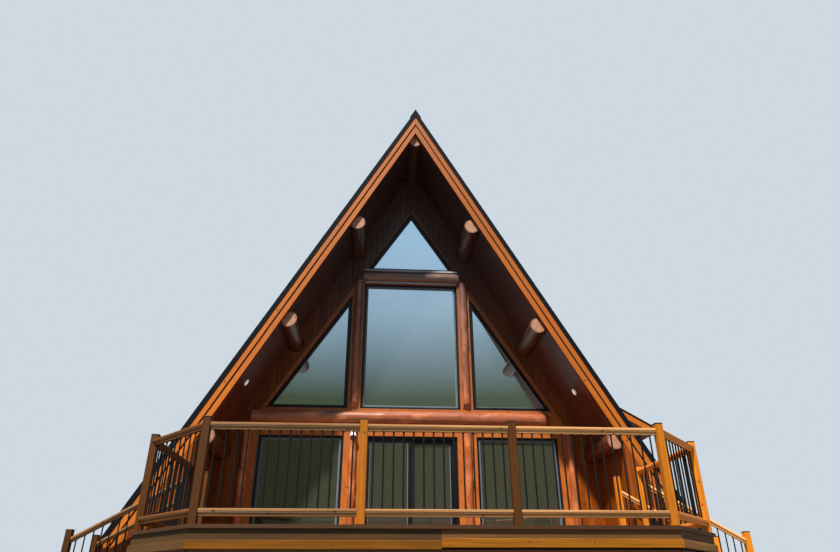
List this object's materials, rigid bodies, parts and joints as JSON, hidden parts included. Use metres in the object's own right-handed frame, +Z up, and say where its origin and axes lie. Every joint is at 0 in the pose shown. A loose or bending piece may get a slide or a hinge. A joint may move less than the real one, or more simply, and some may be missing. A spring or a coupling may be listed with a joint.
{
  "type": "a-frame cabin",
  "caption": "Hollow A-frame cabin with a glazed gable, log purlins under a deep roof overhang, a railed deck with cut corners, side stairs and a sliding glass door.",
  "frame": {"origin": "on the ground under the middle of the whole building", "axes": "+Z up; -Y towards the front with the deck and the glazed gable; +X to the right seen from the front"},
  "size_m": [10.967, 14.633, 10.2179],
  "materials": {
    "cedar_boards": "stained reddish brown tongue and groove boards",
    "orange_trim": "orange brown stained boards, satin",
    "peeled_log": "peeled and stained round logs with knots",
    "deck_wood": "golden brown treated timber",
    "weathered_fascia": "grey brown weathered board",
    "gold_board": "yellow orange stained board",
    "dark_roofing": "black standing seam roofing",
    "black_frame": "black powder coated aluminium",
    "pane": "clear double glazing with a blue reflection",
    "cap_metal": "dark brown flat post caps",
    "masonry": "plain grey foundation wall",
    "floor_wood": "plain boarded floor",
    "lattice_wood": "brown lattice"
  },
  "bodies": {
    "cabin": {"foundation_walls": "masonry", "main_floor": "floor_wood", "upper_floor": "floor_wood", "front_wall_left": "cedar_boards", "front_wall_right": "cedar_boards", "front_wall_lintel": "orange_trim", "front_gable": "cedar_boards", "rear_wall": "cedar_boards", "roof_left": "cedar_boards", "roof_right": "cedar_boards", "roofing": "dark_roofing", "ridge_cap": "dark_roofing", "barge_boards": "orange_trim", "ridge_log": "peeled_log", "purlin_logs": "peeled_log", "porch_wings": "orange_trim", "casing_boards": "orange_trim", "half_log_beams": "peeled_log", "half_log_posts": "peeled_log", "front_window_frames": "black_frame", "front_window_glass": "pane", "door_frame": "black_frame", "fixed_leaf": "black_frame", "fixed_leaf_glass": "pane", "plain_window_frames": "black_frame", "plain_window_glass": "pane", "dormer_walls": "cedar_boards", "dormer_roof": "orange_trim", "deck_floor": "deck_wood", "deck_joists": "deck_wood", "deck_fascia": "weathered_fascia", "deck_beam": "gold_board", "deck_piers": "deck_wood", "lattice_front": "lattice_wood", "lattice_corners": "lattice_wood", "lattice_sides": "lattice_wood", "guard_posts": "deck_wood", "post_caps": "cap_metal", "front_rails": "deck_wood", "corner_rails": "deck_wood", "side_rails": "deck_wood", "stair_front_rails": "deck_wood", "stair_back_rails": "deck_wood", "balusters": "black_frame", "stair_balusters": "black_frame", "stair_stringers": "deck_wood", "stair_treads": "deck_wood"},
    "sliding_door": {"sliding_leaf": "black_frame", "sliding_leaf_glass": "pane", "door_handle": "black_frame"}
  },
  "joints": [
    {"name": "door_slide", "type": "slide", "parent": "cabin", "child": "sliding_door", "axis": [-1, 0, 0], "range_m": [0, 0.74]}
  ]
}
